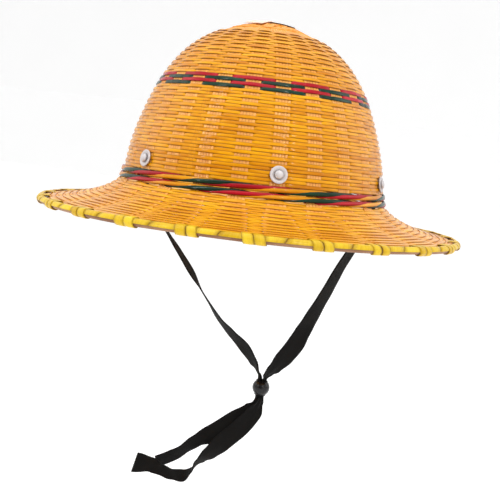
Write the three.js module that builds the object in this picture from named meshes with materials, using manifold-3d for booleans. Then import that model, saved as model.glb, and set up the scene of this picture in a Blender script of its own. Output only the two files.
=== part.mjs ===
// A round woven sun helmet: domed crown, flared brim, coloured bands, lashed rim and a tape chin strap.
// Millimetres, +Z up, front towards -Y. The origin is the centre of the head opening, level with the
// middle of the lower band. An angle counts from the front towards +X.
import * as THREE from "three";
import { mergeVertices } from "three/addons/utils/BufferGeometryUtils.js";
import Module from "manifold-3d";

const wasm = await Module();
wasm.setup();

// Overall sizes
const crownRadius = 107; // outside of the crown at the lower band
const crownHeight = 128.6; // head opening to the top of the weave
const brimRadius = 172; // outside of the rim's wraps
const brimDrop = 26; // head opening down to the top of the brim's edge
const clearance = 0.3; // between two pieces that touch

// The weave: split stakes run from the top to the rim, and wefts cross them
const stakeCount = 24;
const flareRadius = 131; // the brim turns down steeply to the crown inside this radius
const weaveWall = 3.0; // at a stake, where the wefts bow round it
const ribDepth = 0.5; // how far each face of the wall sinks midway between two stakes
const capRadius = 29; // the close disc of crossed splits at the top

// Coloured bands
const upperBandLevel = 76; // middle of the band above the head opening
const upperRowPitch = 2.6;
const upperRowProud = 0.35;
const lowerRowPitch = 5.2;
const lowerRowProud = 0.9;
const lowerRowCount = 2;

// Rim
const hoopRadius = 2.4;
const hoopDrop = 1.0; // hoop's centre below the middle of the brim's wall
const stripThickness = 0.7;
const stripReach = 1.2; // hoop's centre to the strip's upper edge, inwards
const wrapThickness = 1.2;
const wrapCount = 24;
const wrapWidth = 15; // two turns of the lashing, side by side
const wrapReach = 5.0; // hoop's centre to the wrap's end on the brim

// Rivets round the foot of the crown, every fourth stake
const rivetCount = 6;
const rivetStart = 30; // degrees
const rivetLevel = 13;
const shankRadius = 1.6;
const headRadius = 2.9;
const headHeight = 1.7;
const clinchHeight = 1.2;
const washerRadius = 6.4;
const washerThickness = 1.2;

// Chin strap
const tapeWidth = 15;
const tapeThickness = 1.0;
const tapeBevel = 0.25;
const tabBelow = 7; // from the rivet down to the end of the strap's fixed tab
const tabAbove = 9;
const beadRadius = 7.2;
const beadHeight = 12;
const beadBore = 4.4;

// Flat splits over the cap
const splitThickness = 1.1;

// Fineness of the solids
const segments = 2 * stakeCount;
const brimSteps = 2;
const flareSteps = 2;
const sideSteps = 4;
const topSteps = 4;
const capSteps = 2;
const rivetSides = 8;
const washerSides = 12;
const beadSides = 11;

// Brim from the rim inwards: out is a share of the overhang beyond the crown, down a share of brimDrop
const brimSections = [
  { out: 1.0, down: 1.0 },
  { out: 0.8, down: 0.925 },
  { out: 0.58, down: 0.82 },
  { out: 0.38, down: 0.68 },
  { out: 0.22, down: 0.515 },
  { out: 0.1, down: 0.335 },
  { out: 0.025, down: 0.16 },
];

// Crown from the head opening up: up is a share of crownHeight, out a share of crownRadius
const crownSections = [
  { up: 0, out: 1.0 },
  { up: 0.045, out: 0.993 },
  { up: 0.1, out: 0.983 },
  { up: 0.19, out: 0.966 },
  { up: 0.305, out: 0.93 },
  { up: 0.42, out: 0.884 },
  { up: 0.54, out: 0.826 },
  { up: 0.65, out: 0.758 },
  { up: 0.735, out: 0.69 },
  { up: 0.81, out: 0.612 },
  { up: 0.885, out: 0.502 },
  { up: 0.94, out: 0.377 },
  { up: 0.975, out: 0.242 },
  { up: 0.994, out: 0.11 },
  { up: 1.0, out: 0 },
];

// Routes of the two tapes, by hand: where the middle of the tape runs, how far its width is turned about
// the run (degrees, from front-to-back), and its width and thickness as shares of the flat tape's
const tapeLeftRoute = [
  { x: -102.2, y: 0, z: 4.9, turn: 0, wide: 1, thick: 1 },
  { x: -101.4, y: 0, z: -4, turn: 0, wide: 1, thick: 1 },
  { x: -98.6, y: 0, z: -14, turn: -6, wide: 1, thick: 1 },
  { x: -92.6, y: 0, z: -25, turn: -13, wide: 1, thick: 1 },
  { x: -84.2, y: 0, z: -37, turn: -18, wide: 1, thick: 1 },
  { x: -72.8, y: 0, z: -50.7, turn: -17, wide: 1, thick: 1 },
  { x: -61.7, y: 0, z: -63.1, turn: -10, wide: 1, thick: 1 },
  { x: -48.3, y: 0, z: -79.2, turn: -6, wide: 1, thick: 1 },
  { x: -33.9, y: 0, z: -96.9, turn: -24, wide: 1, thick: 1 },
  { x: -15.5, y: 0, z: -117.1, turn: -35, wide: 1, thick: 1 },
  { x: -3.2, y: 0, z: -126.9, turn: -45, wide: 1, thick: 1 },
  { x: 9.8, y: 0, z: -136.5, turn: -57, wide: 1, thick: 1 },
  { x: 18.4, y: 0.5, z: -146.9, turn: -50, wide: 0.9, thick: 1.1 },
  { x: 22.8, y: 1.6, z: -154.3, turn: -30, wide: 0.82, thick: 1.2 },
  { x: 25.3, y: 3, z: -160.8, turn: 0, wide: 0.31, thick: 2.8 },
  { x: 25.0, y: 3, z: -167.6, turn: 0, wide: 0.31, thick: 3.0 },
  { x: 24.7, y: 3, z: -174.4, turn: 0, wide: 0.31, thick: 2.8 },
  { x: 23.8, y: 4.6, z: -180.5, turn: 30, wide: 0.55, thick: 1.7 },
  { x: 19.4, y: 4.2, z: -188.4, turn: 62, wide: 0.85, thick: 1.1 },
  { x: 6.6, y: -1.8, z: -200.5, turn: 88, wide: 1, thick: 1 },
  { x: -8.0, y: -7.3, z: -213.2, turn: 90, wide: 1, thick: 1 },
  { x: -20.0, y: -11.9, z: -221.5, turn: 45, wide: 1, thick: 1 },
  { x: -28.8, y: -15.2, z: -229.8, turn: 32, wide: 1, thick: 1 },
  { x: -38.3, y: -16.6, z: -237.4, turn: 44, wide: 1, thick: 1 },
  { x: -50.8, y: -20.4, z: -244.4, turn: 60, wide: 0.8, thick: 1 },
];
const tapeRightRoute = [
  { x: 102.2, y: 0, z: 4.9, turn: 0, wide: 1, thick: 1 },
  { x: 101.8, y: 0, z: -4, turn: 1, wide: 1, thick: 1 },
  { x: 99.9, y: 0, z: -14, turn: 4, wide: 1, thick: 1 },
  { x: 96.5, y: 0, z: -25, turn: 9, wide: 1, thick: 1 },
  { x: 92.3, y: 0, z: -35, turn: 13, wide: 1, thick: 1 },
  { x: 83.3, y: 0, z: -54, turn: 16, wide: 1, thick: 1 },
  { x: 77.7, y: 0, z: -67.9, turn: 20, wide: 1, thick: 1 },
  { x: 70.7, y: 0, z: -84.7, turn: 25, wide: 1, thick: 1 },
  { x: 62.8, y: 0, z: -102.7, turn: 36, wide: 1, thick: 1 },
  { x: 57.5, y: 0, z: -114.6, turn: 48, wide: 1, thick: 1 },
  { x: 52.9, y: 0, z: -125.5, turn: 66, wide: 1, thick: 1 },
  { x: 44.9, y: 0.5, z: -138.1, turn: 62, wide: 1, thick: 1 },
  { x: 37.2, y: 1.5, z: -149.0, turn: 44, wide: 0.85, thick: 1.1 },
  { x: 31.8, y: 2.5, z: -155.6, turn: 20, wide: 0.8, thick: 1.25 },
  { x: 29.3, y: 3, z: -160.8, turn: 0, wide: 0.31, thick: 2.8 },
  { x: 29.0, y: 3, z: -167.6, turn: 0, wide: 0.31, thick: 3.0 },
  { x: 28.7, y: 3, z: -174.4, turn: 0, wide: 0.31, thick: 2.8 },
  { x: 27.8, y: 1.0, z: -180.3, turn: 30, wide: 0.55, thick: 1.7 },
  { x: 24.8, y: -1.0, z: -189.7, turn: 72, wide: 0.9, thick: 1.1 },
  { x: 15.4, y: -4.3, z: -203.9, turn: 86, wide: 1, thick: 1 },
  { x: 4.3, y: -9.1, z: -216.6, turn: 86, wide: 1, thick: 1 },
  { x: -5.8, y: -12.4, z: -228.6, turn: 47, wide: 1, thick: 1 },
  { x: -13.3, y: -14.1, z: -237.0, turn: 18, wide: 1, thick: 1 },
  { x: -18.8, y: -14.6, z: -244.8, turn: -12, wide: 1, thick: 1 },
  { x: -25.6, y: -16.6, z: -251.6, turn: -27, wide: 1, thick: 1 },
  { x: -34.4, y: -22.6, z: -251.0, turn: -4, wide: 1, thick: 1 },
  { x: -41.6, y: -28.0, z: -247.3, turn: -4, wide: 1, thick: 1 },
  { x: -49.5, y: -31.8, z: -243.6, turn: -28, wide: 1, thick: 1 },
  { x: -63.4, y: -37.0, z: -243.1, turn: -66, wide: 1.1, thick: 1 },
];
const beadCentre = new THREE.Vector3(27, 3, -167.6);
const beadTilt = THREE.MathUtils.degToRad(2.5); // the bead's bore follows the tapes

// Colours
const straw = new THREE.MeshStandardMaterial({ color: 0xeda53a, roughness: 0.45, metalness: 0 });
const paleSplit = new THREE.MeshStandardMaterial({ color: 0xe0b594, roughness: 0.6, metalness: 0 });
const brownSplit = new THREE.MeshStandardMaterial({ color: 0x5a3a28, roughness: 0.6, metalness: 0 });
const redWeft = new THREE.MeshStandardMaterial({ color: 0xc41736, roughness: 0.45, metalness: 0 });
const greenWeft = new THREE.MeshStandardMaterial({ color: 0x1f5c3d, roughness: 0.45, metalness: 0 });
const hoopBrown = new THREE.MeshStandardMaterial({ color: 0x96694a, roughness: 0.55, metalness: 0 });
const lashingYellow = new THREE.MeshStandardMaterial({ color: 0xe2c83a, roughness: 0.5, metalness: 0 });
const zinc = new THREE.MeshStandardMaterial({ color: 0xc4c8cc, roughness: 0.35, metalness: 1 });
const blackTape = new THREE.MeshStandardMaterial({ color: 0x1c1a19, roughness: 0.9, metalness: 0 });
const blackPlastic = new THREE.MeshStandardMaterial({ color: 0x151515, roughness: 0.25, metalness: 0 });

const helmet = new THREE.Group();

function addPiece(name, geometry, material, matrix) {
  const mesh = new THREE.Mesh(geometry, material.clone());
  mesh.name = name;
  if (matrix) mesh.applyMatrix4(matrix);
  helmet.add(mesh);
}

function toSolid(geometry) {
  const positions = geometry.index ? geometry.toNonIndexed() : geometry;
  const bare = new THREE.BufferGeometry().setAttribute("position", positions.getAttribute("position"));
  const merged = mergeVertices(bare, 1e-4);
  return new wasm.Manifold(
    new wasm.Mesh({
      numProp: 3,
      vertProperties: merged.attributes.position.array,
      triVerts: new Uint32Array(merged.index.array),
    }),
  );
}

function toGeometry(solid) {
  const mesh = solid.getMesh();
  return new THREE.BufferGeometry()
    .setAttribute("position", new THREE.BufferAttribute(mesh.vertProperties, 3))
    .setIndex(new THREE.BufferAttribute(mesh.triVerts, 1));
}

// The meridian: the outer face of the wall from the rim over the brim and up the crown to the top, as
// radius and height
const overhang = brimRadius - crownRadius;
const meridian = new THREE.SplineCurve([
  ...brimSections.map((row) => new THREE.Vector2(crownRadius + row.out * overhang, -row.down * brimDrop)),
  ...crownSections.map((row) => new THREE.Vector2(row.out * crownRadius, row.up * crownHeight)),
]);
meridian.arcLengthDivisions = 600;
const meridianLength = meridian.getLength();

// Radius falls and height rises all along the meridian, so halving finds the run to either
function runWhere(isPast) {
  let low = 0;
  let high = meridianLength;
  for (let i = 0; i < 40; i++) {
    const middle = (low + high) / 2;
    if (isPast(meridian.getPointAt(middle / meridianLength))) high = middle;
    else low = middle;
  }
  return low;
}
const runAtLevel = (level) => runWhere((point) => point.y > level);
const runAtRadius = (radius) => runWhere((point) => point.x < radius);

function wallFrame(run) {
  const point = meridian.getPointAt(run / meridianLength);
  const along = meridian.getTangentAt(run / meridianLength);
  return { point, along, outward: new THREE.Vector2(along.y, -along.x) };
}

function wallPoint(run, depth) {
  const { point, outward } = wallFrame(run);
  return point.clone().addScaledVector(outward, -depth);
}

// Turns a profile round +Z. sinks holds, for each profile point, how it moves midway between two stakes.
function turned(profile, sides, sinks) {
  const geometry = new THREE.LatheGeometry(profile, sides);
  if (sinks) {
    const position = geometry.getAttribute("position");
    for (let i = 0; i < position.count; i++) {
      const step = Math.floor(i / profile.length);
      const angle = (step / sides) * 2 * Math.PI;
      const sunk = (1 - Math.cos(stakeCount * angle)) / 2;
      const sink = sinks[i % profile.length];
      const radius = profile[i % profile.length].x + sink.x * sunk;
      const height = profile[i % profile.length].y + sink.y * sunk;
      position.setXYZ(i, radius * Math.sin(angle), height, radius * Math.cos(angle));
    }
  }
  return geometry.rotateX(Math.PI / 2);
}

// A stretch of woven wall between two runs, ribbed at its stakes
function wovenWall(runStart, runEnd, steps) {
  const outer = [];
  const inner = [];
  for (let i = 0; i <= steps; i++) {
    const run = THREE.MathUtils.lerp(runStart, runEnd, i / steps);
    const { outward } = wallFrame(run);
    outer.push({ point: wallPoint(run, 0), sink: outward.clone().multiplyScalar(-ribDepth) });
    inner.unshift({ point: wallPoint(run, weaveWall), sink: outward.clone().multiplyScalar(ribDepth) });
  }
  const loop = [...outer, ...inner, outer[0]];
  return turned(
    loop.map((row) => row.point),
    segments,
    loop.map((row) => row.sink),
  );
}

// One row of coloured weft: a ring as thick as the wall with a bowed outer face
function weftRing(runMiddle, pitch, proud, bowPoints) {
  const half = (pitch - clearance) / 2;
  const profile = [];
  for (let i = 0; i < bowPoints; i++) {
    const share = (2 * i) / (bowPoints - 1) - 1;
    const bow = bowPoints > 2 ? proud * (1 - 0.6 * share * share) : proud;
    profile.push(wallPoint(runMiddle + share * half, -bow));
  }
  profile.push(wallPoint(runMiddle + half, weaveWall), wallPoint(runMiddle - half, weaveWall));
  profile.push(profile[0]);
  return turned(profile, segments);
}

const lowerBandRun = runAtLevel(0);
const upperBandRun = runAtLevel(upperBandLevel);
const upperRows = [
  { name: "upper_band_green_b", material: greenWeft },
  { name: "upper_band_red_b", material: redWeft },
  { name: "upper_band_green_a", material: greenWeft },
  { name: "upper_band_red_a", material: redWeft },
];
const lowerHalf = (lowerRowCount * lowerRowPitch) / 2;
const upperHalf = (upperRows.length * upperRowPitch) / 2;
const seam = clearance / 2;
const hoopCentreRadius = brimRadius - hoopRadius - clearance - wrapThickness;
const brimEdgeRun = runAtRadius(hoopCentreRadius - hoopRadius - clearance);
const capRun = runAtRadius(capRadius);
const flareRun = runAtRadius(flareRadius);

function addWeave() {
  addPiece("brim_weave", wovenWall(brimEdgeRun, flareRun - seam, brimSteps), straw);
  addPiece("brim_flare_weave", wovenWall(flareRun + seam, lowerBandRun - lowerHalf - seam, flareSteps), straw);
  for (let row = 0; row < lowerRowCount; row++) {
    const run = lowerBandRun - lowerHalf + (row + 0.5) * lowerRowPitch;
    const name = row === 0 ? "lower_band_lower_row" : "lower_band_upper_row";
    addPiece(name, weftRing(run, lowerRowPitch, lowerRowProud, 3), redWeft);
  }
  const sideWall = wovenWall(lowerBandRun + lowerHalf + seam, upperBandRun - upperHalf - seam, sideSteps);
  let sideSolid = toSolid(sideWall);
  for (let i = 0; i < rivetCount; i++) {
    const depth = 4 * weaveWall;
    const hole = new THREE.CylinderGeometry(shankRadius + clearance, shankRadius + clearance, depth, rivetSides);
    hole.rotateX(Math.PI / 2).applyMatrix4(rivetFrame(rivetAngle(i)));
    sideSolid = sideSolid.subtract(toSolid(hole));
  }
  addPiece("crown_side_weave", toGeometry(sideSolid), straw);
  upperRows.forEach((row, i) => {
    const run = upperBandRun - upperHalf + (i + 0.5) * upperRowPitch;
    addPiece(row.name, weftRing(run, upperRowPitch, upperRowProud, 2), row.material);
  });
  addPiece("crown_top_weave", wovenWall(upperBandRun + upperHalf + seam, capRun - seam, topSteps), straw);
  addPiece("crown_cap", capDisc(capSteps), straw);
}

// The cap reaches the axis, so its profile starts and ends there
function capDisc(steps) {
  const runStart = capRun + seam;
  const profile = [new THREE.Vector2(0, wallPoint(meridianLength, weaveWall).y)];
  for (let i = steps - 1; i >= 0; i--) {
    profile.push(wallPoint(THREE.MathUtils.lerp(runStart, meridianLength, i / steps), weaveWall));
  }
  for (let i = 0; i < steps; i++) {
    profile.push(wallPoint(THREE.MathUtils.lerp(runStart, meridianLength, i / steps), 0));
  }
  profile.push(new THREE.Vector2(0, wallPoint(meridianLength, 0).y));
  return turned(profile, segments);
}

// A curve whose sections stand at its rows and lie flat: across is the direction of the width before the
// turn, and wide and thick scale the section
class FlatRoute extends THREE.CatmullRomCurve3 {
  constructor(rows, across) {
    super(
      rows.map((row) => new THREE.Vector3(row.x, row.y, row.z)),
      false,
      "centripetal",
    );
    this.rows = rows;
    this.across = across;
  }
  getSpacedPoints() {
    return this.points.map((point) => point.clone());
  }
  computeFrenetFrames() {
    const frames = { tangents: [], normals: [], binormals: [] };
    this.rows.forEach((row, i) => {
      const tangent = this.getTangent(i / (this.rows.length - 1));
      const width = this.across.clone().addScaledVector(tangent, -this.across.dot(tangent)).normalize();
      width.applyAxisAngle(tangent, THREE.MathUtils.degToRad(row.turn));
      const face = tangent.clone().cross(width);
      frames.tangents.push(tangent);
      frames.normals.push(width.multiplyScalar(row.wide));
      frames.binormals.push(face.multiplyScalar(row.thick));
    });
    return frames;
  }
}

// A flat section of 8 sides, width along x
function flatSection(width, thickness, bevel) {
  const x = width / 2;
  const y = thickness / 2;
  return new THREE.Shape([
    new THREE.Vector2(x, y - bevel),
    new THREE.Vector2(x - bevel, y),
    new THREE.Vector2(bevel - x, y),
    new THREE.Vector2(-x, y - bevel),
    new THREE.Vector2(-x, bevel - y),
    new THREE.Vector2(bevel - x, -y),
    new THREE.Vector2(x - bevel, -y),
    new THREE.Vector2(x, bevel - y),
  ]);
}

// A flat band through the rows of a route. Its two faces split their panels along the same diagonal, so a
// twisted stretch keeps its thickness.
function flatBand(route, section) {
  const { normals: widths, binormals: faces } = route.computeFrenetFrames();
  const outline = section.getPoints();
  const sides = outline.length;
  const last = route.points.length - 1;
  const corner = (ring, side) => ring * sides + (side % sides);
  const positions = [];
  route.points.forEach((point, ring) => {
    for (const { x, y } of outline) {
      const place = point.clone().addScaledVector(widths[ring], x).addScaledVector(faces[ring], y);
      positions.push(...place.toArray());
    }
  });
  const index = [];
  for (let ring = 0; ring < last; ring++) {
    for (let side = 0; side < sides; side++) {
      const a = corner(ring, side);
      const b = corner(ring, side + 1);
      const c = corner(ring + 1, side + 1);
      const d = corner(ring + 1, side);
      index.push(...(side < sides / 2 ? [a, b, c, a, c, d] : [a, b, d, b, c, d]));
    }
  }
  for (let side = 1; side < sides - 1; side++) {
    index.push(corner(0, 0), corner(0, side + 1), corner(0, side));
    index.push(corner(last, 0), corner(last, side), corner(last, side + 1));
  }
  const band = new THREE.BufferGeometry();
  band.setAttribute("position", new THREE.Float32BufferAttribute(positions, 3));
  band.setIndex(index);
  const faceted = band.toNonIndexed();
  faceted.computeVertexNormals();
  return faceted;
}

function addTape(name, rows) {
  const route = new FlatRoute(rows, new THREE.Vector3(0, 1, 0));
  const section = flatSection(tapeWidth, tapeThickness, tapeBevel);
  addPiece(name, flatBand(route, section), blackTape);
}

// A split that lies over the cap: from and to are run lengths from the top, lift its height above the cap
function addApexSplit(name, material, split) {
  const angle = THREE.MathUtils.degToRad(split.angle);
  const forward = new THREE.Vector3(Math.sin(angle), -Math.cos(angle), 0);
  const across = new THREE.Vector3(Math.cos(angle), Math.sin(angle), 0);
  const steps = 6;
  const rows = [];
  for (let i = 0; i <= steps; i++) {
    const reach = THREE.MathUtils.lerp(split.from, split.to, i / steps);
    const hump = split.hump * Math.max(0, 1 - (reach / split.humpReach) ** 2);
    const depth = -(clearance + splitThickness / 2 + hump);
    const place = wallPoint(meridianLength - Math.abs(reach), depth);
    const point = forward.clone().multiplyScalar(Math.sign(reach) * place.x).setZ(place.y);
    rows.push({ x: point.x, y: point.y, z: point.z, turn: 0, wide: 1, thick: 1 });
  }
  const section = new THREE.Shape([
    new THREE.Vector2(split.width / 2, -splitThickness / 2),
    new THREE.Vector2(split.width / 2, splitThickness / 2),
    new THREE.Vector2(-split.width / 2, splitThickness / 2),
    new THREE.Vector2(-split.width / 2, -splitThickness / 2),
  ]);
  const route = new FlatRoute(rows, across);
  addPiece(name, new THREE.ExtrudeGeometry(section, { steps, extrudePath: route }), material);
}

// Rim: a round hoop outside the brim's edge, a strip over its upper outer side, and wraps round both
const hoopCentre = new THREE.Vector2(
  hoopCentreRadius,
  wallPoint(brimEdgeRun, weaveWall / 2).y - hoopDrop,
);

function aboutHoop(radius, degrees) {
  const angle = THREE.MathUtils.degToRad(degrees);
  return new THREE.Vector2(Math.cos(angle), Math.sin(angle)).multiplyScalar(radius).add(hoopCentre);
}

// Corners at this radius keep the flats between them outside flatRadius
function cornerRadius(flatRadius, angles) {
  return flatRadius / Math.cos(THREE.MathUtils.degToRad((angles[1] - angles[0]) / 2));
}

// At a wrap the lashing goes right round the hoop and grips the brim from above and below
const gripAngles = [-105, -45, 15, 75];
const gripInside = hoopRadius + clearance;

function wrapSection() {
  const legRadius = hoopCentreRadius - wrapReach;
  const legRun = runAtRadius(legRadius);
  const topInner = wallPoint(legRun, -clearance).y;
  const bottomInner = wallPoint(legRun, weaveWall + clearance).y;
  const legThickness = wrapThickness - clearance;
  const inside = cornerRadius(gripInside, gripAngles);
  const outside = cornerRadius(gripInside + legThickness, gripAngles);
  return [
    new THREE.Vector2(legRadius, bottomInner - legThickness),
    ...gripAngles.map((degrees) => aboutHoop(outside, degrees)),
    new THREE.Vector2(legRadius, topInner + legThickness),
    new THREE.Vector2(legRadius, topInner),
    ...gripAngles.toReversed().map((degrees) => aboutHoop(inside, degrees)),
    new THREE.Vector2(legRadius, bottomInner),
  ];
}

// Between two wraps a strip lies over the hoop's upper outer side. Its section is a part of the wrap's,
// a little thinner.
function stripSection() {
  const inset = (wrapThickness - clearance - stripThickness) / 2;
  const angles = gripAngles.slice(2);
  const inside = cornerRadius(gripInside + inset, gripAngles);
  const outside = cornerRadius(gripInside + inset + stripThickness, gripAngles);
  const run = runAtRadius(hoopCentreRadius - stripReach);
  const endInner = wallPoint(run, -clearance - inset);
  return [
    ...angles.map((degrees) => aboutHoop(outside, degrees)),
    endInner.clone().setY(endInner.y + stripThickness),
    endInner,
    ...angles.toReversed().map((degrees) => aboutHoop(inside, degrees)),
  ];
}

// A ring whose flats, not its corners, lie at the profile's radius; the middle of a flat stands at a stake
// and at every wrap
function turnedOnFlats(profile) {
  const halfStep = Math.PI / segments;
  const closed = [...profile, profile[0]];
  const wider = closed.map((point) => new THREE.Vector2(point.x / Math.cos(halfStep), point.y));
  return turned(wider, segments).rotateZ(halfStep);
}

function addRim() {
  const hoopSides = 6;
  const hoopSection = [];
  for (let i = 0; i < hoopSides; i++) hoopSection.push(aboutHoop(hoopRadius, -90 + (i * 360) / hoopSides));
  addPiece("rim_hoop", turnedOnFlats(hoopSection), hoopBrown);

  const wrap = new THREE.ExtrudeGeometry(new THREE.Shape(wrapSection()), {
    depth: wrapWidth,
    bevelEnabled: false,
  });
  wrap.translate(0, 0, -wrapWidth / 2);
  let lashing = toSolid(turnedOnFlats(stripSection()));
  for (let i = 0; i < wrapCount; i++) {
    const angle = ((i + 0.5) / wrapCount) * 2 * Math.PI;
    const radial = new THREE.Vector3(Math.sin(angle), -Math.cos(angle), 0);
    const up = new THREE.Vector3(0, 0, 1);
    const place = new THREE.Matrix4().makeBasis(radial, up, radial.clone().cross(up));
    lashing = lashing.add(toSolid(wrap.clone().applyMatrix4(place)));
  }
  addPiece("rim_lashing", toGeometry(lashing), lashingYellow);
}

// Rivets: the frame stands on the wall's outer face with its Z outwards and its Y up the wall
const rivetAngle = (i) => THREE.MathUtils.degToRad(rivetStart + (i * 360) / rivetCount);

function rivetFrame(angle) {
  const { point, along, outward } = wallFrame(runAtLevel(rivetLevel));
  const lift = (flat) => new THREE.Vector3(flat.x * Math.sin(angle), -flat.x * Math.cos(angle), flat.y);
  const zAxis = lift(outward);
  const yAxis = lift(along);
  const xAxis = yAxis.clone().cross(zAxis);
  return new THREE.Matrix4().makeBasis(xAxis, yAxis, zAxis).setPosition(lift(point));
}

// The two rivets at the sides also hold the strap's tabs
const holdsStrap = (angle) => Math.abs(Math.sin(angle)) > 0.99;

function addRivets() {
  for (let i = 0; i < rivetCount; i++) {
    const angle = rivetAngle(i);
    const frame = rivetFrame(angle);
    const washerTop = clearance + washerThickness;
    const washer = turned(
      [
        new THREE.Vector2(shankRadius + clearance, clearance),
        new THREE.Vector2(washerRadius, clearance),
        new THREE.Vector2(washerRadius, washerTop),
        new THREE.Vector2(shankRadius + clearance, washerTop),
        new THREE.Vector2(shankRadius + clearance, clearance),
      ],
      washerSides,
    );
    addPiece("washer_" + (i + 1), washer, zinc, frame);

    const tabGrip = holdsStrap(angle) ? tapeThickness + clearance : 0;
    const grip = -(weaveWall + clearance + tabGrip);
    const headBase = washerTop + clearance;
    const rivet = turned(
      [
        new THREE.Vector2(0, grip - clinchHeight),
        new THREE.Vector2(headRadius, grip - clinchHeight),
        new THREE.Vector2(headRadius, grip),
        new THREE.Vector2(shankRadius, grip),
        new THREE.Vector2(shankRadius, headBase),
        new THREE.Vector2(headRadius, headBase),
        new THREE.Vector2(0.85 * headRadius, headBase + 0.7 * headHeight),
        new THREE.Vector2(0, headBase + headHeight),
      ],
      rivetSides,
    );
    addPiece("rivet_" + (i + 1), rivet, zinc, frame);

    if (holdsStrap(angle)) {
      const tab = new THREE.Shape([
        new THREE.Vector2(-tapeWidth / 2, -tabBelow),
        new THREE.Vector2(tapeWidth / 2, -tabBelow),
        new THREE.Vector2(tapeWidth / 2, tabAbove),
        new THREE.Vector2(-tapeWidth / 2, tabAbove),
      ]);
      const hole = new THREE.Path().absarc(0, 0, shankRadius + clearance, 0, 2 * Math.PI);
      tab.holes.push(hole);
      const sheet = new THREE.ExtrudeGeometry(tab, {
        depth: tapeThickness,
        bevelEnabled: false,
        curveSegments: rivetSides,
      });
      sheet.translate(0, 0, -(weaveWall + clearance + tapeThickness));
      addPiece(Math.sin(angle) > 0 ? "strap_tab_right" : "strap_tab_left", sheet, blackTape, frame);
    }
  }
}

function addBead() {
  const steps = 4;
  const profile = [new THREE.Vector2(beadBore, -beadHeight / 2)];
  const endAngle = Math.asin(beadHeight / 2 / beadRadius);
  for (let i = 0; i <= steps; i++) {
    const angle = THREE.MathUtils.lerp(-endAngle, endAngle, i / steps);
    profile.push(new THREE.Vector2(beadRadius * Math.cos(angle), beadRadius * Math.sin(angle)));
  }
  profile[1].x = Math.max(profile[1].x, beadBore + clearance);
  profile[steps + 1].x = profile[1].x;
  profile.push(new THREE.Vector2(beadBore, beadHeight / 2), profile[0]);
  const place = new THREE.Matrix4().makeRotationY(beadTilt).setPosition(beadCentre);
  addPiece("chin_bead", turned(profile, beadSides), blackPlastic, place);
}

addWeave();
const brownSplitShape = { angle: 105, width: 10, from: -4, to: 21, hump: 0, humpReach: 1 };
const paleSplitShape = {
  angle: 0,
  width: 12,
  from: -24,
  to: 25,
  hump: 2 * clearance + splitThickness,
  humpReach: 16,
};
addApexSplit("apex_strip_brown", brownSplit, brownSplitShape);
addApexSplit("apex_strip_pale", paleSplit, paleSplitShape);
addRim();
addRivets();
addTape("chin_tape_left", tapeLeftRoute);
addTape("chin_tape_right", tapeRightRoute);
addBead();

export default helmet;
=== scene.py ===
import math

import bmesh
import bpy
import numpy as np
from mathutils import Matrix, Vector


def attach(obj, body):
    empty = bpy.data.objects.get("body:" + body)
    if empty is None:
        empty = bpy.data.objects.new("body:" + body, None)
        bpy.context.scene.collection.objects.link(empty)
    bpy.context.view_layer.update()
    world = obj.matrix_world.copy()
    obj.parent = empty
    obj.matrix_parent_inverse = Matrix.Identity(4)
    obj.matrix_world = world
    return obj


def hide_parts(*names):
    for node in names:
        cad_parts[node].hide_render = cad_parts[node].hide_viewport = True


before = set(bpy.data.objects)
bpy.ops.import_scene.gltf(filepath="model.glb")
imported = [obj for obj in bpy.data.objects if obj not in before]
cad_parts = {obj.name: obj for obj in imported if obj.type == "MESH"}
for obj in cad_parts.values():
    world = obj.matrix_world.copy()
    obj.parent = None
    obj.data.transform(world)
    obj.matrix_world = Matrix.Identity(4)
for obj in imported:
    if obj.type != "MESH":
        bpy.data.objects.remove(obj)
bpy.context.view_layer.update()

mm = 0.001
seeds = np.random.default_rng(24)

# The eye and the point looked at are in mm in the hat's own frame; the picture is turned clockwise by roll
view = {
    "eye": (246.6, -650.9, 27.5),
    "target": (3.5, 1.3, -54.1),
    "roll": 6.72,
    "lens": 60.6,
}


def makeCamera():
    eye = Vector(view["eye"]) * mm
    ahead = (Vector(view["target"]) * mm - eye).normalized()
    right = ahead.cross(Vector((0, 0, 1))).normalized()
    up = right.cross(ahead)
    c, s = math.cos(math.radians(view["roll"])), math.sin(math.radians(view["roll"]))
    turned = Matrix((c * right + s * up, c * up - s * right, -ahead)).transposed().to_4x4()
    data = bpy.data.cameras.new("photoCamera")
    data.lens = view["lens"]
    data.sensor_width = 36
    data.clip_start, data.clip_end = 0.05, 60
    camera = bpy.data.objects.new("photoCamera", data)
    camera.matrix_world = Matrix.Translation(eye) @ turned
    bpy.context.collection.objects.link(camera)
    bpy.context.scene.camera = camera


makeCamera()
print("camera set")


# Shader maths as plain expressions: a Wire is a socket, a Finish is one material
class Wire:
    def __init__(self, finish, socket):
        self.finish = finish
        self.socket = socket

    def maths(self, operation, first, second):
        return self.finish.node("ShaderNodeMath", {"operation": operation}, {0: first, 1: second})

    def __add__(self, other):
        return self.maths("ADD", self, other)

    def __radd__(self, other):
        return self.maths("ADD", other, self)

    def __sub__(self, other):
        return self.maths("SUBTRACT", self, other)

    def __mul__(self, other):
        return self.maths("MULTIPLY", self, other)

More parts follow.
